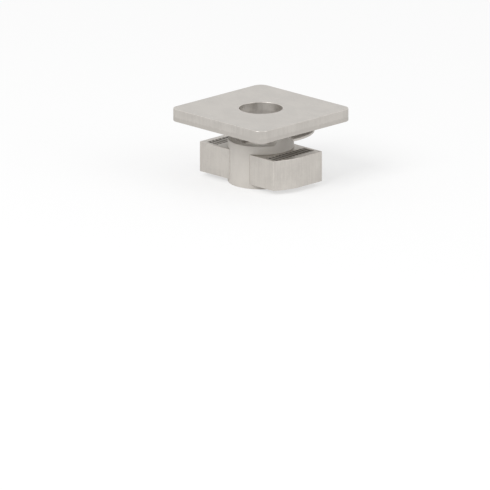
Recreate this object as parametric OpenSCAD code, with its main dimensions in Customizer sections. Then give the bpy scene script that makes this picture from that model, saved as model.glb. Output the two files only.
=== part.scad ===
// Channel nut: a square plate, a wing nut and the moulded retainer that joins them.
// Millimetres. X runs along the wings, Z up along the bolt axis, origin under the sleeve on that axis.

/* [Plate] */
// Side of the square plate
plate_w = 40; // [36:0.5:60]
// Thickness of the plate
plate_t = 4; // [3:0.5:8]
// Radius of the plate's four corners
plate_corner_r = 3; // [1:0.5:6]
// Clearance hole for the bolt
bolt_hole_d = 13.5; // [13:0.1:14.5]
// Gap between the top of the wings and the underside of the plate
lip_gap = 8.3; // [7:0.1:10]

/* [Wing nut] */
// Height of the steel bar
bar_h = 9.6; // [8:0.1:12]
// Width of the steel bar
bar_w = 18.7; // [17.6:0.1:19.4]
// Diameter of the circle in which the wings turn
turn_d = 34.9; // [33:0.1:38]
// How far the flat ends of the wings lie inside that circle
end_flat = 0.03; // [0.01:0.01:0.1]
// Radius of the two square corners that stop the turn
stop_corner_r = 0.2; // [0.1:0.1:1]
// Tapping diameter of the thread
thread_bore_d = 10.2; // [10.1:0.05:10.4]
// Nominal diameter of the thread, which the countersinks just clear
thread_d = 12; // [11.8:0.1:12.2]
// Depth of the recess that keys the sleeve in each side face
waist_depth = 1.4; // [1:0.1:1.8]
// How far that recess reaches past the sleeve on either side
waist_margin = 0.15; // [0.1:0.05:0.5]

/* [Teeth] */
// Pitch of the teeth across the bar
tooth_pitch = 1.5; // [1.3:0.1:1.7]
// Depth of the teeth
tooth_depth = 0.75; // [0.4:0.05:0.9]
// Number of grooves on each wing
tooth_grooves = 11; // [5:1:11]
// Distance of the toothed strip from the bolt axis
strip_from = 10.7; // [10.5:0.1:11.5]
// Width of the toothed strip
strip_w = 4.5; // [3.5:0.1:5]

/* [Retainer] */
// How far the round sleeve stands out of the bar's side faces
sleeve_bulge = 0.9; // [0.7:0.05:1.1]
// Thickness of the sleeve's floor under the bar
sleeve_floor = 1.4; // [1.2:0.1:2.5]
// Height of the sleeve's rim above the wings
rim_h = 2.7; // [1.5:0.1:3.5]
// Thickness of the sleeve's floor on top of the bar
cup_floor = 1; // [0.8:0.1:1.2]
// Wall thickness of the rim and of the uprights
rim_wall = 2.6; // [2:0.1:2.8]
// Hole for the bolt through the sleeve
sleeve_hole_d = 13; // [12.6:0.1:13.4]
// Angle of the upright's edge on the stop side
post_from = -16.6; // [-20:0.1:-12]
// Angle of the upright's edge on the arm's side
post_to = 20; // [14:0.5:24]
// Radius of the fillets at the foot of the uprights
post_fillet = 1.2; // [0.6:0.1:1.6]
// Diameter of the pegs that press into the plate
peg_d = 2.2; // [1.8:0.1:2.4]
// Length of the pegs in the plate
peg_h = 2; // [1.5:0.1:2.5]

/* [Spring arms] */
// Outer radius of the spring arms
arm_r = 16.7; // [16:0.1:17.2]
// Width of the spring arms
arm_w = 4.3; // [3.5:0.1:4.6]
// Thickness of the spring arms
arm_t = 0.8; // [0.7:0.1:1.2]
// Drop of the arms' underside below the plate
arm_drop = 3.1; // [2.5:0.1:3.5]
// Angle at which the outer edge of an arm starts
arm_from = -8; // [-10:1:-4]
// Angle at which the inner edge of an arm starts
arm_in_from = -1; // [-3:1:2]
// Angle at which the straight side of an arm's tip ends
arm_to = 37; // [30:1:40]

/* [Hidden] */
$fn = 96;
eps = 0.01;
// Length by which a cutter or a blank reaches past the steel
clear = 1;
// Angle and depths by which joined shapes reach into each other
lead_angle = 10;
root_angle = 1;
root_depth = 0.5;
bar_z = sleeve_floor;
wing_top = bar_z + bar_h;
rim_top = wing_top + rim_h;
plate_z = wing_top + lip_gap;
sleeve_r = bar_w/2 + sleeve_bulge;
post_in_r = sleeve_r - rim_wall;
peg_at_r = sleeve_r - rim_wall/2;
turn_r = turn_d/2;
end_x = turn_r - end_flat;
waist_x = sqrt(sleeve_r*sleeve_r - bar_w*bar_w/4) + waist_margin;
countersink = (thread_d - thread_bore_d)/2 + 0.2;
arm_z = plate_z - arm_drop;

// Wedge in plan between two angles, with its point on the bolt axis
module wedge(from, to) {
    half = (to - from)/2;
    mid = from + half;
    far = 2*plate_w;
    polygon([
        [0, 0],
        [far*cos(from), far*sin(from)],
        [far/cos(half)*cos(mid), far/cos(half)*sin(mid)],
        [far*cos(to), far*sin(to)]
    ]);
}

// Flat ring in plan
module ring(r_out, r_in) {
    difference() {
        circle(r = r_out);
        circle(r = r_in);
    }
}

// Square in plan with round corners
module rounded_square(w, r) {
    square([w - 2*r, w], center = true);
    square([w, w - 2*r], center = true);
    for (x = [-1, 1], y = [-1, 1])
        translate([x*(w/2 - r), y*(w/2 - r)])
            circle(r = r);
}

// Places its children on both sides of the bolt axis
module both_sides() {
    for (a = [0, 180])
        rotate([0, 0, a])
            children();
}

module square_plate() {
    color([0.77, 0.75, 0.73])
    difference() {
        translate([0, 0, plate_z])
            linear_extrude(plate_t)
                rounded_square(plate_w, plate_corner_r);
        translate([0, 0, plate_z - eps])
            cylinder(d = bolt_hole_d, h = plate_t + 2*eps);
        both_sides()
            translate([peg_at_r, 0, plate_z - eps])
                cylinder(d = peg_d, h = peg_h + eps);
    }
}

// Plan of one wing's square half: the corner that stops the turn
module stop_half() {
    square([end_x - stop_corner_r, bar_w/2]);
    square([end_x, bar_w/2 - stop_corner_r]);
    translate([end_x - stop_corner_r, bar_w/2 - stop_corner_r])
        circle(r = stop_corner_r, $fn = 48);
}

// Plan of the steel bar: two corners follow the turning circle and two are square
module bar_plan() {
    difference() {
        union() {
            intersection() {
                circle(r = turn_r, $fn = 180);
                square([turn_d + clear, bar_w], center = true);
            }
            both_sides() stop_half();
        }
        for (y = [-1, 1])
            translate([0, y*bar_w/2])
                square([2*waist_x, 2*waist_depth], center = true);
    }
}

// Row of V grooves side by side, seen along their length
module groove_row() {
    span = tooth_grooves*tooth_pitch;
    polygon([
        for (i = [0:tooth_grooves - 1]) each [
            [i*tooth_pitch - span/2, 0],
            [(i + 0.5)*tooth_pitch - span/2, -tooth_depth]
        ],
        [span/2, 0],
        [span/2, clear],
        [-span/2, clear]
    ]);
}

module wing_nut() {
    color([0.74, 0.72, 0.7])
    difference() {
        translate([0, 0, bar_z])
            linear_extrude(bar_h)
                bar_plan();
        translate([0, 0, bar_z - eps])
            cylinder(d = thread_bore_d, h = bar_h + 2*eps);
        translate([0, 0, bar_z - eps])
            cylinder(r1 = thread_bore_d/2 + countersink + eps, r2 = thread_bore_d/2, h = countersink + eps);
        translate([0, 0, wing_top - countersink])
            cylinder(r1 = thread_bore_d/2, r2 = thread_bore_d/2 + countersink + eps, h = countersink + eps);
        both_sides()
            translate([strip_from, 0, wing_top])
                rotate([90, 0, 90])
                    linear_extrude(strip_w)
                        groove_row();
    }
}

// Sleeve round the bar: a floor below, a shallow cup on top and the two sides that join them
module sleeve() {
    difference() {
        cylinder(r = sleeve_r, h = rim_top);
        translate([0, 0, bar_z])
            linear_extrude(bar_h)
                bar_plan();
        translate([0, 0, -eps])
            cylinder(d = sleeve_hole_d, h = rim_top);
        translate([0, 0, wing_top + cup_floor])
            cylinder(r = post_in_r, h = rim_h);
    }
}

// Upright seen from the end of the wings, with a fillet on either side of its foot
module post_front() {
    low = rim_top - root_depth;
    right = sleeve_r*sin(post_to);
    left = sleeve_r*sin(post_from);
    translate([left, low])
        square([right - left, plate_z - low]);
    difference() {
        translate([left - post_fillet, low])
            square([right - left + 2*post_fillet, post_fillet + root_depth]);
        for (y = [left - post_fillet, right + post_fillet])
            translate([y, rim_top + post_fillet])
                circle(r = post_fillet, $fn = 48);
    }
}

// Upright that carries the plate, with its peg
module post() {
    intersection() {
        translate([0, 0, wing_top + cup_floor + eps])
            linear_extrude(plate_z)
                ring(sleeve_r, post_in_r);
        rotate([90, 0, 90])
            linear_extrude(sleeve_r + root_depth)
                post_front();
    }
    translate([peg_at_r, 0, plate_z - root_depth])
        cylinder(d = peg_d, h = peg_h + root_depth);
}

// Plan of a spring arm: a curved blade with a slanted start and a round tip
module arm_plan() {
    in_r = arm_r - arm_w;
    start = in_r*[cos(arm_in_from), sin(arm_in_from)];
    edge = arm_r*[cos(arm_from), sin(arm_from)] - start;
    difference() {
        intersection() {
            ring(arm_r, in_r);
            wedge(arm_from - lead_angle, arm_to);
        }
        translate(start)
            rotate(atan2(edge.y, edge.x))
                translate([-arm_w, -2*arm_w])
                    square([4*arm_w, 2*arm_w]);
    }
    rotate(arm_to)
        translate([arm_r - arm_w/2, 0])
            circle(d = arm_w);
}

// Thin curved spring arm below the plate
module spring_arm() {
    translate([0, 0, arm_z])
        linear_extrude(arm_t) {
            arm_plan();
            intersection() {
                ring(arm_r - arm_w + root_depth, peg_at_r);
                wedge(root_angle, post_to - root_angle);
            }
        }
}

module retainer() {
    color([0.76, 0.74, 0.71]) {
        sleeve();
        both_sides() {
            post();
            spring_arm();
        }
    }
}

square_plate();
wing_nut();
retainer();
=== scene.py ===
import math

import bmesh
import bpy
from mathutils import Matrix, Vector


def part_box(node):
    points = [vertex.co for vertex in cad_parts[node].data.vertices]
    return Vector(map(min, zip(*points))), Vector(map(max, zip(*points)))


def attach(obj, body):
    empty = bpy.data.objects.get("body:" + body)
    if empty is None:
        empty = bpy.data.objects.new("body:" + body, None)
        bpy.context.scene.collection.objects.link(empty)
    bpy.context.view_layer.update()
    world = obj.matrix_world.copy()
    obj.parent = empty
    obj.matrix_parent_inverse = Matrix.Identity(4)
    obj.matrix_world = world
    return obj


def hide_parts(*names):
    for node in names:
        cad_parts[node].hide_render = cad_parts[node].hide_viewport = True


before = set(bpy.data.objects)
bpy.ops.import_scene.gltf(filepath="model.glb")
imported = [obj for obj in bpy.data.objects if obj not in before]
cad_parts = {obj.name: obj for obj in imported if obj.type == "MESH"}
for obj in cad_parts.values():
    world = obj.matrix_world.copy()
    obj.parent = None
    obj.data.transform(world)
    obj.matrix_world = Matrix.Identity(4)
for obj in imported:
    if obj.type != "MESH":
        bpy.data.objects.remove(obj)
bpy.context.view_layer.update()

# All shapes are made in millimetres and scaled to metres at the end.
MM = 0.001


def cad_box(node):
    """Lowest and highest corner of a solid in millimetres."""
    low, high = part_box(node)
    return [round(v / MM, 3) for v in low], [round(v / MM, 3) for v in high]


# Plate, with its width and heights from its solid
plate_low, plate_high = cad_box("square_plate")
PLATE_W = plate_high[0] - plate_low[0]
PLATE_Z = plate_low[2]
PLATE_TOP = plate_high[2]
PLATE_CORNER_R = 3.0
BOLT_HOLE_R = 6.75

# Steel bar, with its width and heights from its solid
bar_low, bar_high = cad_box("wing_nut")
BAR_W = bar_high[1] - bar_low[1]
BAR_Z = bar_low[2]
BAR_TOP = bar_high[2]
TURN_R = 17.45
END_FLAT = 0.03
END_X = TURN_R - END_FLAT
STOP_R = 0.2
WAIST_DEPTH = 1.4
WAIST_MARGIN = 0.15

# Thread and its countersinks, which are as deep as they are wide
BORE_R = 5.1
THREAD_R = 6.0
THREAD_PITCH = 1.75
FLANK_ANGLE = 30.0
SINK = 1.1

# Teeth
TOOTH_PITCH = 1.5
TOOTH_DEPTH = 0.75
TOOTH_GROOVES = 11
STRIP_FROM = 10.7
STRIP_W = 4.5

# Sleeve of the retainer
SLEEVE_BULGE = 0.9
SLEEVE_R = BAR_W / 2 + SLEEVE_BULGE
SLEEVE_HOLE_R = 6.5
RIM_H = 2.7
RIM_TOP = BAR_TOP + RIM_H
CUP_FLOOR = 1.0
CUP_Z = BAR_TOP + CUP_FLOOR
WAIST_X = math.sqrt(SLEEVE_R ** 2 - (BAR_W / 2) ** 2) + WAIST_MARGIN
SLOT_ANGLE = math.degrees(math.acos(WAIST_X / SLEEVE_R))

# Uprights and their pegs
RIM_WALL = 2.6
POST_IN_R = SLEEVE_R - RIM_WALL
POST_FROM = -16.6
POST_TO = 20.0
POST_FILLET = 1.2
POST_CORNER_R = 0.3
PEG_AT_R = SLEEVE_R - RIM_WALL / 2
PEG_R = 1.1
PEG_H = 2.0
PEG_ROOT = 0.5

# Spring arms and the web between arm and upright
ARM_R = 16.7
ARM_W = 4.3
ARM_T = 0.8
ARM_DROP = 3.1
ARM_Z = PLATE_Z - ARM_DROP
ARM_FROM = -8.0
ARM_IN_FROM = -1.0
ARM_TO = 37.0
WEB_ROOT = 0.6
WEB_MARGIN = 1.0

# Rounding of the edges
PLATE_EDGE = 0.22
NUT_EDGE = 0.18
PLASTIC_EDGE = 0.2
EDGE_STEPS = 3

# Mesh steps of full circles, arcs and, over half a turn, the sleeve
HOLE_STEPS = 144
THREAD_STEPS = 96
PEG_STEPS = 48
PLATE_CORNER_STEPS = 16
TURN_STEPS = 20
STOP_STEPS = 8
ARM_STEPS = 30
ARM_IN_STEPS = 12
TIP_STEPS = 16
PILLAR_STEPS = 10
SLOT_STEPS = 16
CORNER_COLUMNS = 3
FILLET_STEPS = 8
CORNER_STEPS = 4
POST_STEPS = 12

# How far a cutter reaches past the steel, and past the crests of the thread
PAST = 1.0
PAST_CREST = 0.35

# Distances under which points count as one: in new meshes, within a face and at the end
NEW_WELD = 1e-4
SAME = 1e-5
WELD = 0.002

# Colours as linear values, light and dark
PLATE_TONES = ((0.56, 0.532, 0.497), (0.501, 0.475, 0.442))
NUT_TONES = ((0.605, 0.575, 0.534), (0.534, 0.504, 0.468))
PLASTIC_TONES = ((0.556, 0.528, 0.488), (0.517, 0.488, 0.453))
# Colour of the painted shade in the roots of teeth and thread
ROOT_SHADE_TONE = (0.065, 0.061, 0.056)

# Finish: height of the torn band on the plate's sides, half the width of its border, and
# how strongly shade is painted into the roots of teeth and thread
TORN_H = 1.4
TORN_BLUR = 0.2
NUT_ROOT_SHADE = 0.92

# Stretch of the textures along X, Y and Z, per millimetre
ROLLED = (0.12, 3.2, 3.2)
SHEARED = (2.4, 2.4, 0.12)
TORN = (0.7, 0.7, 0.05)
SCRATCHED = (0.22, 7.0, 7.0)
FLOWED = (1.0, 1.0, 0.6)
MOTTLED = (1.0, 1.0, 2.2)
RUBBED = (0.35, 0.35, 6.0)

# Picture: where the bolt axis and the foot of the sleeve lie, and the scale
VIEW_AZIMUTH = 45.0
VIEW_ELEVATION = 15.68
PIXELS_PER_MM = 3.2386
PICTURE_SIDE = 490
AXIS_PX = 260.32
FOOT_PX = 179.98
MID_Z = 11.65

# Camera's distance and the point that the lamps face, in metres, and the sensor's width in millimetres
CAMERA_DISTANCE = 5.0
LIT_POINT = (0.0, 0.0, 0.012)
SENSOR = 36.0


def on_circle(radius, degrees):
    """Point on a circle about the bolt axis."""
    angle = math.radians(degrees)
    return (radius * math.cos(angle), radius * math.sin(angle))


def spread(start, end, steps):
    """Evenly spaced numbers, both ends included."""
    return [start + (end - start) * i / steps for i in range(steps + 1)]


def arc(centre, radius, start, end, steps):
    """Points along an arc, both ends included."""
    points = []
    for angle in spread(start, end, steps):
        x, y = on_circle(radius, angle)
        points.append((centre[0] + x, centre[1] + y))
    return points


def circle(centre, radius, steps):
    """Points round a full circle."""
    return arc(centre, radius, 0, 360, steps)[:-1]


def new_object(name, verts, faces):
    """Closed mesh with its normals pointing out."""
    mesh = bpy.data.meshes.new(name)
    mesh.from_pydata(verts, [], faces)
    work = bmesh.new()
    work.from_mesh(mesh)
    bmesh.ops.remove_doubles(work, verts=work.verts, dist=NEW_WELD)
    bmesh.ops.recalc_face_normals(work, faces=work.faces)
    work.to_mesh(mesh)
    work.free()
    obj = bpy.data.objects.new(name, mesh)
    bpy.context.scene.collection.objects.link(obj)
    return obj


def skin(name, rings, looped=False):
    """Closed mesh over equal rings of points, with a cap at either end unless it is looped."""
    n = len(rings[0])
    verts = [point for ring in rings for point in ring]
    last = len(verts) - n
    faces = []
    if not looped:
        faces = [list(range(n)), list(range(last, last + n))]
    for s in range(len(rings) if looped else len(rings) - 1):
        a = s * n
        b = (a + n) % len(verts)
        faces += [[a + i, a + (i + 1) % n, b + (i + 1) % n, b + i] for i in range(n)]
    return new_object(name, verts, faces)


def prism(name, outline, low, high):
    """Outline in plan raised from low to high."""
    return skin(name, [[(x, y, z) for x, y in outline] for z in (low, high)])


def lathe(name, profile, steps):
    """Closed profile of (radius, height) turned about the bolt axis."""
    rings = []
    for angle in spread(0, 360, steps)[:-1]:
        rings.append([(*on_circle(radius, angle), height) for radius, height in profile])
    return skin(name, rings, looped=True)


def bake(obj):
    """Applies every modifier of an object to its mesh."""
    graph = bpy.context.evaluated_depsgraph_get()
    made = bpy.data.meshes.new_from_object(obj.evaluated_get(graph))
    obj.modifiers.clear()
    old = obj.data
    obj.data = made
    bpy.data.meshes.remove(old)


def combine(obj, tool, operation):
    """Boolean of two closed meshes; the tool is used up."""
    mod = obj.modifiers.new("combine", "BOOLEAN")
    mod.operation = operation
    mod.solver = "EXACT"
    mod.object = tool
    bake(obj)
    bpy.data.objects.remove(tool)


def clean(obj, weld, flat_degrees):
    """Welds near points and joins coplanar faces."""
    work = bmesh.new()
    work.from_mesh(obj.data)
    bmesh.ops.remove_doubles(work, verts=work.verts, dist=weld)
    bmesh.ops.dissolve_limit(
        work,
        angle_limit=math.radians(flat_degrees),
        use_dissolve_boundaries=False,
        verts=work.verts,
        edges=work.edges,
    )
    bmesh.ops.recalc_face_normals(work, faces=work.faces)
    work.to_mesh(obj.data)
    work.free()


def round_edges(obj, width, min_angle):
    """Rounds every edge sharper than the angle and marks the faces that this makes."""
    mesh = obj.data
    mesh.materials.append(None)
    mesh.materials.append(None)
    mod = obj.modifiers.new("round", "BEVEL")
    mod.width = width
    mod.segments = EDGE_STEPS
    mod.limit_method = "ANGLE"
    mod.angle_limit = math.radians(min_angle)
    mod.use_clamp_overlap = False
    mod.miter_outer = "MITER_ARC"
    mod.material = 1
    bake(obj)
    mesh = obj.data
    marks = [float(face.material_index == 1) for face in mesh.polygons]
    edge = mesh.attributes.new("edge", "FLOAT", "FACE")
    edge.data.foreach_set("value", marks)
    for face in mesh.polygons:
        face.material_index = 0
    mesh.materials.clear()


def finish_mesh(obj, sharp_angle):
    """Welds near points, shades smoothly but for sharp edges, and scales to metres."""
    work = bmesh.new()
    work.from_mesh(obj.data)
    bmesh.ops.remove_doubles(work, verts=work.verts, dist=WELD)
    for face in work.faces:
        face.smooth = True
    for edge in work.edges:
        turn = edge.calc_face_angle(0.0)
        edge.smooth = turn < math.radians(sharp_angle)
    work.to_mesh(obj.data)
    work.free()
    mod = obj.modifiers.new("normals", "WEIGHTED_NORMAL")
    mod.keep_sharp = True
    bake(obj)
    obj.data.transform(Matrix.Scale(MM, 4))
    obj.data.update()


def rounded_square(side, radius, steps):
    """Outline of a square with round corners."""
    points = []
    c = side / 2 - radius
    for k, (sx, sy) in enumerate([(1, 1), (-1, 1), (-1, -1), (1, -1)]):
        points += arc((sx * c, sy * c), radius, 90 * k, 90 * k + 90, steps)
    return points


def make_plate():
    """Blanked square plate with its bolt hole and two blind holes underneath."""
    outline = rounded_square(PLATE_W, PLATE_CORNER_R, PLATE_CORNER_STEPS)
    plate = prism("plate_body", outline, PLATE_Z, PLATE_TOP)
    round_hole = circle((0, 0), BOLT_HOLE_R, HOLE_STEPS)
    hole = prism("hole", round_hole, PLATE_Z - PAST, PLATE_TOP + PAST)
    combine(plate, hole, "DIFFERENCE")
    clean(plate, weld=0.01, flat_degrees=0.3)
    round_edges(plate, PLATE_EDGE, min_angle=35)
    for side in (-1, 1):
        peg_hole = circle((side * PEG_AT_R, 0), PEG_R, PEG_STEPS)
        blind = prism("blind", peg_hole, PLATE_Z - PAST, PLATE_Z + PEG_H)
        combine(plate, blind, "DIFFERENCE")
    finish_mesh(plate, sharp_angle=40)
    return plate


def bar_outline():
    """Plan of the steel bar: two corners on the turning circle, two square."""
    half = BAR_W / 2
    turn = math.degrees(math.asin(half / TURN_R))
    flat = math.degrees(math.acos(END_X / TURN_R))
    side = arc((0, 0), TURN_R, -turn, flat, TURN_STEPS)
    side += arc((END_X - STOP_R, half - STOP_R), STOP_R, 0, 90, STOP_STEPS)
    side += [
        (WAIST_X, half),
        (WAIST_X, half - WAIST_DEPTH),
        (-WAIST_X, half - WAIST_DEPTH),
        (-WAIST_X, half),
    ]
    return side + [(-x, -y) for x, y in side]


def thread_cutter():
    """Helical groove of the metric thread, a little longer than the bore."""
    low = BAR_Z - THREAD_PITCH
    turns = (BAR_TOP - BAR_Z) / THREAD_PITCH + 2
    slope = math.tan(math.radians(FLANK_ANGLE))
    inner = BORE_R - PAST_CREST
    root_half = THREAD_PITCH / 16
    open_half = root_half + (THREAD_R - inner) * slope
    profile = [
        (inner, -open_half),
        (THREAD_R, -root_half),
        (THREAD_R, root_half),
        (inner, open_half),
    ]
    rings = []
    for s in range(int(turns * THREAD_STEPS) + 1):
        rise = low + THREAD_PITCH * s / THREAD_STEPS
        angle = 360.0 * s / THREAD_STEPS
        rings.append([(*on_circle(radius, angle), rise + z) for radius, z in profile])
    return skin("thread", rings)


def groove_cutter(side):
    """Row of V grooves across the top of one wing."""
    span = TOOTH_GROOVES * TOOTH_PITCH
    row = []
    for i in range(TOOTH_GROOVES):
        row.append((i * TOOTH_PITCH - span / 2, 0.0))
        row.append(((i + 0.5) * TOOTH_PITCH - span / 2, -TOOTH_DEPTH))
    row += [(span / 2, 0.0), (span / 2, PAST), (-span / 2, PAST)]
    rings = []
    for x in (STRIP_FROM, STRIP_FROM + STRIP_W):
        rings.append([(side * x, y, BAR_TOP + z) for y, z in row])
    return skin("grooves", rings)


def bore_cutter():
    """Tapping bore with a countersink at either end."""
    wide = BORE_R + SINK
    profile = [
        (0.0, BAR_Z - PAST),
        (wide + PAST, BAR_Z - PAST),
        (wide, BAR_Z),
        (BORE_R, BAR_Z + SINK),
        (BORE_R, BAR_TOP - SINK),
        (wide, BAR_TOP),
        (wide + PAST, BAR_TOP + PAST),
        (0.0, BAR_TOP + PAST),
    ]
    return lathe("bore", profile, HOLE_STEPS)


def make_nut():
    """Steel bar with toothed wings and a threaded bore."""
    nut = prism("nut_body", bar_outline(), BAR_Z, BAR_TOP)
    clean(nut, weld=0.005, flat_degrees=0.3)
    round_edges(nut, NUT_EDGE, min_angle=30)
    for side in (-1, 1):
        combine(nut, groove_cutter(side), "DIFFERENCE")
    combine(nut, bore_cutter(), "DIFFERENCE")
    combine(nut, thread_cutter(), "DIFFERENCE")
    finish_mesh(nut, sharp_angle=30)
    return nut


def rim_curve():
    """Top edge of the sleeve's wall over one half turn, in order.

    A rim entry holds its angle. A post entry (y, z, reach, dy, dz, sign) is seen from
    the end of the wings: the point is (y, z) + (reach + sign * inset) * (dy, dz).
    """
    left = SLEEVE_R * math.sin(math.radians(POST_FROM))
    right = SLEEVE_R * math.sin(math.radians(POST_TO))
    fillet_z = RIM_TOP + POST_FILLET
    corner_z = PLATE_Z - POST_CORNER_R
    foot_left = left - POST_FILLET
    foot_right = right + POST_FILLET
    inner_left = left + POST_CORNER_R
    inner_right = right - POST_CORNER_R
    curve = [("rim", a) for a in spread(-90, -SLOT_ANGLE, PILLAR_STEPS)]
    from_left = math.degrees(math.asin(foot_left / SLEEVE_R))
    curve += [("rim", a) for a in spread(-SLOT_ANGLE, from_left, SLOT_STEPS)[1:-1]]
    for x, y in arc((0, 0), 1.0, -90, 0, FILLET_STEPS):
        curve.append(("post", foot_left, fillet_z, POST_FILLET, x, y, 1))
    for x, y in arc((0, 0), 1.0, 180, 90, CORNER_STEPS):
        curve.append(("post", inner_left, corner_z, POST_CORNER_R, x, y, -1))
    for y in spread(inner_left, inner_right, POST_STEPS)[1:-1]:
        curve.append(("post", y, PLATE_Z, 0.0, 0.0, 1.0, -1))
    for x, y in arc((0, 0), 1.0, 90, 0, CORNER_STEPS):
        curve.append(("post", inner_right, corner_z, POST_CORNER_R, x, y, -1))
    for x, y in arc((0, 0), 1.0, 180, 270, FILLET_STEPS):
        curve.append(("post", foot_right, fillet_z, POST_FILLET, x, y, 1))
    from_right = math.degrees(math.asin(foot_right / SLEEVE_R))
    curve += [("rim", a) for a in spread(from_right, SLOT_ANGLE, SLOT_STEPS)[1:-1]]
    curve += [("rim", a) for a in spread(SLOT_ANGLE, 90, PILLAR_STEPS)]
    return curve


def inner_angle(angle):
    """Angle on the inner wall that goes with an angle on the outer one."""
    side = 1 if angle > 0 else -1
    if abs(angle) >= SLOT_ANGLE:
        return angle
    foot = SLEEVE_R * math.sin(math.radians(POST_TO if angle > 0 else POST_FROM))
    foot = abs(foot) + POST_FILLET
    outer = math.degrees(math.asin(foot / SLEEVE_R))
    inner = math.degrees(math.asin(foot / POST_IN_R))
    share = (abs(angle) - outer) / (SLOT_ANGLE - outer)
    return side * (inner + share * (SLOT_ANGLE - inner))


def rim_point(entry, inset, radius, inner):
    """Point of the top edge at a radius, moved into the material by the inset."""
    if entry[0] == "rim":
        angle = inner_angle(entry[1]) if inner else entry[1]
        return (*on_circle(radius, angle), RIM_TOP - inset)
    _, y, z, reach, dy, dz, sign = entry
    y += (reach + sign * inset) * dy
    z += (reach + sign * inset) * dz
    return (math.sqrt(radius * radius - y * y), y, z)


def skirt(points, low):
    """Wall from a line of points down to a level; upright stretches have no width."""
    faces = []

    def same(a, b):
        return math.hypot(a[0] - b[0], a[1] - b[1]) < SAME

    for i in range(len(points) - 1):
        a, b = points[i], points[i + 1]
        if same(a, b):
            continue
        face = [a]
        j = i - 1
        while j >= 0 and same(points[j], a):
            face.append(points[j])
            j -= 1
        face += [(a[0], a[1], low), (b[0], b[1], low)]
        run = []
        j = i + 2
        while j < len(points) and same(points[j], b):
            run.append(points[j])
            j += 1
        face += run[::-1] + [b]
        faces.append(face)
    return faces


def strip(first, second):
    """Quads between two lines of points."""
    return [
        [first[i], first[i + 1], second[i + 1], second[i]]
        for i in range(len(first) - 1)
    ]


def level(points, z):
    """The same points in plan, all at one height."""
    return [(x, y, z) for x, y, _ in points]


def key_faces(side, start, step, ring_out, hole):
    """Faces of the sleeve's side in one recess of the bar, with the corner of the slot."""
    columns = [start + step * i for i in range(PILLAR_STEPS + 1)]
    wall_y = side * (BAR_W / 2 - WAIST_DEPTH)
    wall = [(x, wall_y, 0.0) for x in spread(0.0, WAIST_X, PILLAR_STEPS)]
    edge = [ring_out[i] for i in columns]
    bore = [hole[i] for i in columns]
    faces = strip(level(edge, BAR_Z), level(edge, BAR_TOP))
    faces += strip(level(wall, BAR_Z), level(wall, BAR_TOP))
    ends = [wall[-1], edge[-1]]
    faces += strip(level(ends, BAR_Z), level(ends, BAR_TOP))
    past = [columns[-1] + step * i for i in range(CORNER_COLUMNS + 1)]
    corner = [wall[-1]] + [ring_out[i] for i in past]
    corner += [hole[i] for i in past[::-1]]
    for z in (BAR_Z, BAR_TOP):
        faces += strip(level(wall, z), level(bore, z))
        faces.append(level(corner, z))
    return faces


def sleeve_half():
    """Faces of the sleeve and one upright over half a turn."""
    curve = rim_curve()
    faces = []
    outer = []
    inner = []
    for turn in spread(0, math.pi / 2, EDGE_STEPS):
        inset = PLASTIC_EDGE * (1 - math.sin(turn))
        back = PLASTIC_EDGE * (1 - math.cos(turn))
        outer.append([rim_point(e, inset, SLEEVE_R - back, False) for e in curve])
        inner.append([rim_point(e, inset, POST_IN_R + back, True) for e in curve])
    for k in range(EDGE_STEPS):
        faces += strip(outer[k], outer[k + 1])
        faces += strip(inner[k], inner[k + 1])
    faces += strip(outer[-1], inner[-1])
    faces += skirt(outer[0], BAR_TOP)
    faces += skirt(inner[0], CUP_Z)

    ring_out = level(outer[0], BAR_TOP)
    ring_in = level(inner[0], CUP_Z)
    hole = []
    for x, y, _ in ring_in:
        scale = SLEEVE_HOLE_R / math.hypot(x, y)
        hole.append((x * scale, y * scale, CUP_Z))
    faces += strip(ring_in, hole)
    faces += strip(hole, level(hole, BAR_TOP))
    faces += strip(level(hole, BAR_Z), level(hole, 0.0))
    faces += strip(level(hole, 0.0), level(ring_out, 0.0))
    faces += strip(level(ring_out, 0.0), level(ring_out, BAR_Z))

    last = len(curve) - 1
    faces += key_faces(-1, 0, 1, ring_out, hole)
    faces += key_faces(1, last, -1, ring_out, hole)
    skip = PILLAR_STEPS + CORNER_COLUMNS
    slot = slice(skip, last - skip + 1)
    for z in (BAR_Z, BAR_TOP):
        faces += strip(level(hole[slot], z), level(ring_out[slot], z))
    return faces


def make_sleeve():
    """Sleeve with both uprights, its edges rounded."""
    half = sleeve_half()
    verts = []
    faces = []
    for face in half + [[(-x, -y, z) for x, y, z in face] for face in half]:
        corners = [p for i, p in enumerate(face) if math.dist(p, face[i - 1]) > SAME]
        if len(corners) > 2:
            faces.append(list(range(len(verts), len(verts) + len(corners))))
            verts += corners
    sleeve = new_object("retainer_body", verts, faces)
    round_edges(sleeve, PLASTIC_EDGE, min_angle=35)
    return sleeve


def arm_outline():
    """Plan of a spring arm with its slanted start, round tip and web."""
    in_r = ARM_R - ARM_W
    web_r = SLEEVE_R - WEB_ROOT
    tip = on_circle(ARM_R - ARM_W / 2, ARM_TO)
    points = arc((0, 0), ARM_R, ARM_FROM, ARM_TO, ARM_STEPS)
    points += arc(tip, ARM_W / 2, ARM_TO, ARM_TO + 180, TIP_STEPS)[1:-1]
    points += arc((0, 0), in_r, ARM_TO, POST_TO - WEB_MARGIN, ARM_IN_STEPS)
    points += [on_circle(web_r, POST_TO - WEB_MARGIN), on_circle(web_r, WEB_MARGIN)]
    points += [on_circle(in_r, WEB_MARGIN), on_circle(in_r, ARM_IN_FROM)]
    return points


def make_arm(side):
    """Thin curved spring arm below the plate."""
    outline = [(side * x, side * y) for x, y in arm_outline()]
    arm = prism("arm", outline, ARM_Z, ARM_Z + ARM_T)
    round_edges(arm, PLASTIC_EDGE, min_angle=30)
    return arm


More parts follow.
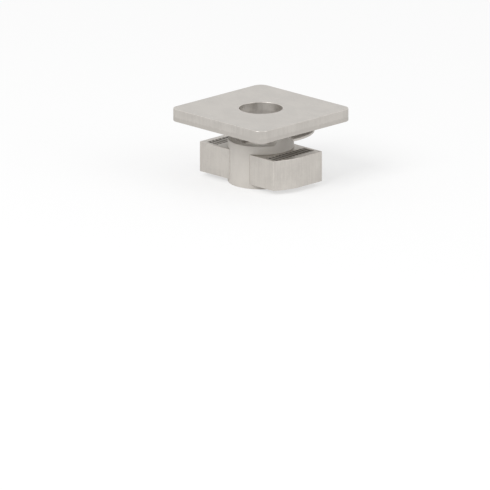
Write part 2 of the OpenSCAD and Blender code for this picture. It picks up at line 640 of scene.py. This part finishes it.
def make_peg(side):
    """Round peg on top of an upright, which presses into the plate."""
    outline = circle((side * PEG_AT_R, 0), PEG_R, PEG_STEPS)
    return prism("peg", outline, PLATE_Z - PEG_ROOT, PLATE_Z + PEG_H)


def make_retainer():
    """Moulded sleeve round the bar, with its uprights, pegs and spring arms."""
    body = make_sleeve()
    for side in (-1, 1):
        combine(body, make_arm(side), "UNION")
        combine(body, make_peg(side), "UNION")
    finish_mesh(body, sharp_angle=40)
    return body


class Nodes:
    """Short way to build a node tree."""

    def __init__(self, tree):
        self.tree = tree
        tree.nodes.clear()

    def add(self, kind, inputs=None, **settings):
        """New node; an input that is a socket is linked, and any other is set."""
        made = self.tree.nodes.new(kind)
        for key, value in settings.items():
            setattr(made, key, value)
        for key, value in (inputs or {}).items():
            if isinstance(value, bpy.types.NodeSocket):
                self.tree.links.new(value, made.inputs[key])
            else:
                made.inputs[key].default_value = value
        return made

    def noise(self, vector, scale=1.0, detail=3.0, roughness=0.5):
        """Cloudy field around 0.5."""
        made = self.add(
            "ShaderNodeTexNoise",
            {"Vector": vector, "Scale": scale, "Detail": detail, "Roughness": roughness},
        )
        return made.outputs["Fac"]

    def math(self, operation, first, second=0.0):
        """Result of one operation on one or two values."""
        made = self.add("ShaderNodeMath", {0: first, 1: second}, operation=operation)
        return made.outputs[0]

    def plus(self, first, *others):
        """Sum of all values."""
        for other in others:
            first = self.math("ADD", first, other)
        return first

    def times(self, first, *others):
        """Product of all values."""
        for other in others:
            first = self.math("MULTIPLY", first, other)
        return first

    def minus(self, first, *others):
        """First value less all the others."""
        for other in others:
            first = self.math("SUBTRACT", first, other)
        return first

    def span(self, value, low, high, to_low=0.0, to_high=1.0):
        """Moves the range low to high onto another one and clamps to it."""
        made = self.add(
            "ShaderNodeMapRange",
            {
                "Value": value,
                "From Min": low,
                "From Max": high,
                "To Min": to_low,
                "To Max": to_high,
            },
        )
        return made.outputs["Result"]

    def split(self, vector):
        """X, Y and Z of a vector."""
        made = self.add("ShaderNodeSeparateXYZ", {0: vector})
        return made.outputs["X"], made.outputs["Y"], made.outputs["Z"]

    def scaled(self, vector, scale):
        """Vector multiplied axis by axis."""
        made = self.add("ShaderNodeMapping", {"Vector": vector, "Scale": scale})
        return made.outputs["Vector"]

    def mix_colour(self, factor, first, second):
        """Colour between two sockets or triples."""
        both = [(*c, 1.0) if isinstance(c, tuple) else c for c in (first, second)]
        made = self.add("ShaderNodeMix", {0: factor, 6: both[0], 7: both[1]}, data_type="RGBA")
        return made.outputs[2]

    def bump(self, strength, distance, height):
        """Surface direction bent by a height field."""
        made = self.add(
            "ShaderNodeBump", {"Strength": strength, "Distance": distance, "Height": height}
        )
        return made.outputs[0]

    def rounded_edges(self):
        """1 on the rounded edges of a mesh."""
        return self.add("ShaderNodeAttribute", attribute_name="edge").outputs["Fac"]


def new_material(name):
    """Empty material and its nodes."""
    material = bpy.data.materials.new(name)
    material.use_nodes = True
    return material, Nodes(material.node_tree)


def on_object(nodes):
    """Place on the object in millimetres, and the direction of its surface."""
    coordinates = nodes.add("ShaderNodeTexCoord")
    at = nodes.scaled(coordinates.outputs["Object"], (1 / MM, 1 / MM, 1 / MM))
    return at, coordinates.outputs["Normal"]


def from_axis(nodes, at):
    """Distance from the bolt axis."""
    x, y, _ = nodes.split(at)
    return nodes.math("SQRT", nodes.plus(nodes.times(x, x), nodes.times(y, y)))


def level_share(nodes, at, normal):
    """1 on level surfaces outside the thread."""
    up = nodes.math("ABSOLUTE", nodes.split(normal)[2])
    outside = nodes.span(from_axis(nodes, at), THREAD_R + 0.1, THREAD_R + 0.3)
    return nodes.times(nodes.span(up, 0.5, 0.8), outside)


def scratches(nodes, at, degrees, rarity):
    """Sparse fine scratches along one direction in plan."""
    turned = nodes.add(
        "ShaderNodeMapping",
        {"Vector": at, "Rotation": (0.0, 0.0, math.radians(degrees))},
    )
    along = nodes.scaled(turned.outputs["Vector"], SCRATCHED)
    field = nodes.noise(along, detail=1.0, roughness=0.4)
    return nodes.span(field, rarity, rarity + 0.03)


def torn_share(nodes, at, top):
    """1 on the torn part of a blanked side, which ends at an uneven border at the top."""
    height = nodes.split(at)[2]
    wobble = nodes.span(nodes.noise(nodes.scaled(at, TORN)), 0.2, 0.8, -0.5, 0.5)
    return nodes.span(nodes.plus(height, wobble), top - TORN_BLUR, top + TORN_BLUR, 1.0, 0.0)


def tooth_roots(nodes, at):
    """1 in the grooves between the teeth, where shade is painted."""
    x, y, height = nodes.split(at)
    along = nodes.math("ABSOLUTE", x)
    across = nodes.math("ABSOLUTE", y)
    half = TOOTH_GROOVES * TOOTH_PITCH / 2
    strip_to = STRIP_FROM + STRIP_W
    return nodes.times(
        nodes.span(along, STRIP_FROM - 0.05, STRIP_FROM),
        nodes.span(along, strip_to, strip_to + 0.05, 1.0, 0.0),
        nodes.span(across, half, half + 0.05, 1.0, 0.0),
        nodes.span(height, BAR_TOP - 0.55 * TOOTH_DEPTH, BAR_TOP - 0.02, 1.0, 0.0),
        nodes.span(height, BAR_TOP - 2 * TOOTH_DEPTH, BAR_TOP - 1.3 * TOOTH_DEPTH),
    )


def thread_roots(nodes, at):
    """1 in the roots of the thread between its countersinks, where shade is painted."""
    height = nodes.split(at)[2]
    radius = from_axis(nodes, at)
    return nodes.times(
        nodes.span(radius, BORE_R + 0.05, THREAD_R),
        nodes.span(radius, THREAD_R + 0.02, THREAD_R + 0.1, 1.0, 0.0),
        nodes.span(height, BAR_Z + 0.8 * SINK, BAR_Z + 1.3 * SINK),
        nodes.span(height, BAR_TOP - 1.3 * SINK, BAR_TOP - 0.8 * SINK, 1.0, 0.0),
    )


def steel_material(name, tones, roughness, bump, torn_top=None, root_shade=0.0):
    """Bright-zinc steel: cloudy plating, fine grain, rolling lines and sheared sides, with painted
    shade in the roots of teeth and thread where asked for.
    """
    light, dark = tones
    material, nodes = new_material(name)
    at, normal = on_object(nodes)
    flat = level_share(nodes, at, normal)
    side = nodes.minus(1.0, flat)

    clouds = nodes.noise(at, scale=0.16, roughness=0.6)
    grain = nodes.noise(at, scale=2.6, detail=4.0, roughness=0.65)
    lines = nodes.noise(nodes.scaled(at, ROLLED), roughness=0.6)
    shear = nodes.noise(nodes.scaled(at, SHEARED), roughness=0.6)
    nicks = nodes.noise(at, scale=1.1, roughness=0.6)
    edges = nodes.rounded_edges()
    # Rounded edges are painted lighter and smoother in patches: partly wear of the plating, partly a
    # painted highlight along the edges
    edge_wear_and_highlight = nodes.times(edges, nodes.span(nicks, 0.38, 0.58, 0.2, 1.0))
    dented = nodes.times(edges, nodes.span(nicks, 0.3, 0.45, 0.9, 0.0))
    crossed = nodes.math(
        "MAXIMUM",
        scratches(nodes, at, degrees=28, rarity=0.67),
        scratches(nodes, at, degrees=-52, rarity=0.69),
    )
    marks = nodes.times(crossed, flat)

    tone = nodes.plus(
        nodes.span(clouds, 0.35, 0.65),
        nodes.span(grain, 0.3, 0.7, -0.35, 0.35),
        nodes.times(nodes.span(lines, 0.3, 0.7, -0.25, 0.25), flat),
        nodes.times(nodes.span(shear, 0.3, 0.7, -0.4, 0.4), side),
        nodes.times(marks, 0.5),
    )
    rough = nodes.plus(
        nodes.span(clouds, 0.3, 0.7, roughness - 0.05, roughness + 0.05),
        nodes.span(grain, 0.3, 0.7, -0.03, 0.03),
    )
    if torn_top:
        torn = nodes.times(torn_share(nodes, at, torn_top), side)
        tone = nodes.minus(tone, nodes.times(torn, 0.7))
        rough = nodes.plus(rough, nodes.times(torn, 0.12))
    colour = nodes.mix_colour(tone, dark, light)
    # Painted shade: the roots of teeth and thread are darkened toward a dark colour, standing in for
    # the shade that falls in these grooves
    if root_shade:
        roots = nodes.math("MAXIMUM", tooth_roots(nodes, at), thread_roots(nodes, at))
        share = nodes.times(roots, root_shade)
        colour = nodes.mix_colour(share, colour, ROOT_SHADE_TONE)
        rough = nodes.plus(rough, nodes.times(share, 0.2))
    # Brighter tone for the edges, partly wear and partly a painted highlight
    bright = tuple(1.12 * c for c in light)
    colour = nodes.mix_colour(nodes.times(edge_wear_and_highlight, 0.6), colour, bright)
    rough = nodes.minus(rough, nodes.times(edge_wear_and_highlight, 0.08), nodes.times(marks, 0.08))
    height = nodes.plus(
        nodes.times(grain, 0.5),
        nodes.times(lines, flat, 0.6),
        nodes.times(shear, side, 1.2),
    )
    height = nodes.minus(height, nodes.times(marks, 0.4), dented)
    shader = nodes.add(
        "ShaderNodeBsdfPrincipled",
        {
            "Base Color": colour,
            "Metallic": 0.9,
            "Roughness": rough,
            "Normal": nodes.bump(bump, 0.02 * MM, height),
        },
    )
    nodes.add("ShaderNodeOutputMaterial", {"Surface": shader.outputs[0]})
    return material


def plastic_material(name, tones):
    """Matte moulded plastic: flow clouds, mottling, an eroded mould texture and rubbed edges, whose
    lighter colour is partly wear and partly a painted highlight.
    """
    light, dark = tones
    material, nodes = new_material(name)
    at, _ = on_object(nodes)
    height = nodes.split(at)[2]

    flow = nodes.noise(nodes.scaled(at, FLOWED), scale=0.2, detail=2.0)
    mottle = nodes.noise(nodes.scaled(at, MOTTLED), scale=0.9, roughness=0.55)
    pores = nodes.noise(at, scale=5.0, roughness=0.6)
    rubs = nodes.noise(nodes.scaled(at, RUBBED), detail=1.0, roughness=0.4)
    rubbed = nodes.times(
        nodes.span(rubs, 0.66, 0.7),
        nodes.span(from_axis(nodes, at), SLEEVE_R - 0.15, SLEEVE_R - 0.1),
        nodes.span(height, RIM_TOP + 0.2, RIM_TOP + 0.4, 1.0, 0.0),
    )
    # Rounded edges are painted lighter and smoother in patches: partly wear, partly a painted
    # highlight along the edges
    edge_wear_and_highlight = nodes.times(nodes.rounded_edges(), nodes.span(mottle, 0.35, 0.6, 0.25, 1.0))

    tone = nodes.plus(
        nodes.span(flow, 0.3, 0.7),
        nodes.span(mottle, 0.3, 0.7, -0.1, 0.1),
        nodes.span(pores, 0.3, 0.7, -0.25, 0.25),
        nodes.times(rubbed, 0.4),
    )
    bright = tuple(1.1 * c for c in light)
    colour = nodes.mix_colour(tone, dark, light)
    colour = nodes.mix_colour(nodes.times(edge_wear_and_highlight, 0.6), colour, bright)
    rough = nodes.plus(
        nodes.span(pores, 0.3, 0.7, 0.48, 0.62),
        nodes.span(mottle, 0.3, 0.7, -0.04, 0.04),
    )
    rough = nodes.minus(rough, nodes.times(edge_wear_and_highlight, 0.12), nodes.times(rubbed, 0.08))
    relief = nodes.plus(pores, nodes.times(mottle, 0.15))
    shader = nodes.add(
        "ShaderNodeBsdfPrincipled",
        {
            "Base Color": colour,
            "Roughness": rough,
            "Specular IOR Level": 0.45,
            "Normal": nodes.bump(0.5, 0.03 * MM, relief),
        },
    )
    nodes.add("ShaderNodeOutputMaterial", {"Surface": shader.outputs[0]})
    return material


def seen_directly(nodes):
    """1 for camera, mirror and glass rays."""
    path = nodes.add("ShaderNodeLightPath")
    seen = nodes.math(
        "MAXIMUM", path.outputs["Is Camera Ray"], path.outputs["Is Glossy Ray"]
    )
    return nodes.math("MAXIMUM", seen, path.outputs["Is Transmission Ray"])


def make_world(ambient):
    """White surroundings, with a softer light from all sides."""
    world = bpy.data.worlds.new("studio")
    bpy.context.scene.world = world
    world.use_nodes = True
    nodes = Nodes(world.node_tree)
    soft = nodes.add("ShaderNodeBackground", {"Color": (1, 1, 1, 1), "Strength": ambient})
    white = nodes.add("ShaderNodeBackground", {"Color": (1, 1, 1, 1), "Strength": 1.0})
    both = nodes.add(
        "ShaderNodeMixShader",
        {0: seen_directly(nodes), 1: soft.outputs[0], 2: white.outputs[0]},
    )
    nodes.add("ShaderNodeOutputWorld", {"Surface": both.outputs[0]})


def make_floor(half_side, shade, white_share):
    """Pale floor under the sleeve that keeps the shadow."""
    h = half_side
    mesh = bpy.data.meshes.new("floor")
    mesh.from_pydata([(-h, -h, 0), (h, -h, 0), (h, h, 0), (-h, h, 0)], [], [(0, 1, 2, 3)])
    floor = bpy.data.objects.new("floor", mesh)
    bpy.context.scene.collection.objects.link(floor)
    material, nodes = new_material("floor_white")
    paint = nodes.add("ShaderNodeBsdfDiffuse", {"Color": (shade, shade, shade, 1)})
    glow = nodes.add("ShaderNodeEmission", {"Color": (1, 1, 1, 1), "Strength": 1.0})
    part = nodes.times(seen_directly(nodes), white_share)
    both = nodes.add("ShaderNodeMixShader", {0: part, 1: paint.outputs[0], 2: glow.outputs[0]})
    nodes.add("ShaderNodeOutputMaterial", {"Surface": both.outputs[0]})
    mesh.materials.append(material)


def make_lamp(name, location, side, watts):
    """Soft square lamp that faces the object."""
    data = bpy.data.lights.new(name, "AREA")
    data.shape = "SQUARE"
    data.size = side
    data.energy = watts
    lamp = bpy.data.objects.new(name, data)
    bpy.context.scene.collection.objects.link(lamp)
    lamp.location = location
    away = Vector(location) - Vector(LIT_POINT)
    lamp.rotation_mode = "QUATERNION"
    lamp.rotation_quaternion = away.to_track_quat("Z", "Y")


def make_camera():
    """Long lens from the drawing's side, with the drawing's framing."""
    data = bpy.data.cameras.new("camera")
    camera = bpy.data.objects.new("camera", data)
    bpy.context.scene.collection.objects.link(camera)
    a = math.radians(VIEW_AZIMUTH)
    e = math.radians(VIEW_ELEVATION)
    back = Vector((math.sin(a) * math.cos(e), -math.cos(a) * math.cos(e), math.sin(e)))
    right = Vector((math.cos(a), math.sin(a), 0.0))
    up = back.cross(right)
    centre = Vector((0.0, 0.0, MID_Z))
    middle = (PICTURE_SIDE - 1) / 2
    across = (AXIS_PX - middle) / PIXELS_PER_MM
    down = (FOOT_PX - middle) / PIXELS_PER_MM - MID_Z * math.cos(e)
    target = centre - right * across + up * down
    camera.location = centre * MM + back * CAMERA_DISTANCE
    camera.rotation_mode = "QUATERNION"
    away = camera.location - target * MM
    camera.rotation_quaternion = away.to_track_quat("Z", "Y")
    data.sensor_width = SENSOR
    data.lens = SENSOR * CAMERA_DISTANCE / (PICTURE_SIDE / PIXELS_PER_MM * MM)
    data.dof.use_dof = False
    bpy.context.scene.camera = camera


def place(piece, node, material):
    """Puts a finished piece in the place of its solid."""
    piece.data.materials.clear()
    piece.data.materials.append(material)
    for polygon in piece.data.polygons:
        polygon.material_index = 0
    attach(piece, "root")
    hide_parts(node)


make_camera()
make_world(ambient=0.7)
make_floor(half_side=3.0, shade=0.92, white_share=0.55)
make_lamp("key", (0.1, -1.2, 1.08), side=0.8, watts=12.0)
make_lamp("fill", (1.3, 0.3, 0.7), side=0.9, watts=4.2)

satin = steel_material(
    "satin_zinc", PLATE_TONES, roughness=0.4, bump=0.5, torn_top=PLATE_Z + TORN_H
)
dull = steel_material("rough_zinc", NUT_TONES, roughness=0.45, bump=0.7, root_shade=NUT_ROOT_SHADE)
plastic = plastic_material("moulded_plastic", PLASTIC_TONES)
place(make_plate(), "square_plate", satin)
place(make_nut(), "wing_nut", dull)
place(make_retainer(), "retainer", plastic)

bpy.context.scene.view_settings.view_transform = "Standard"
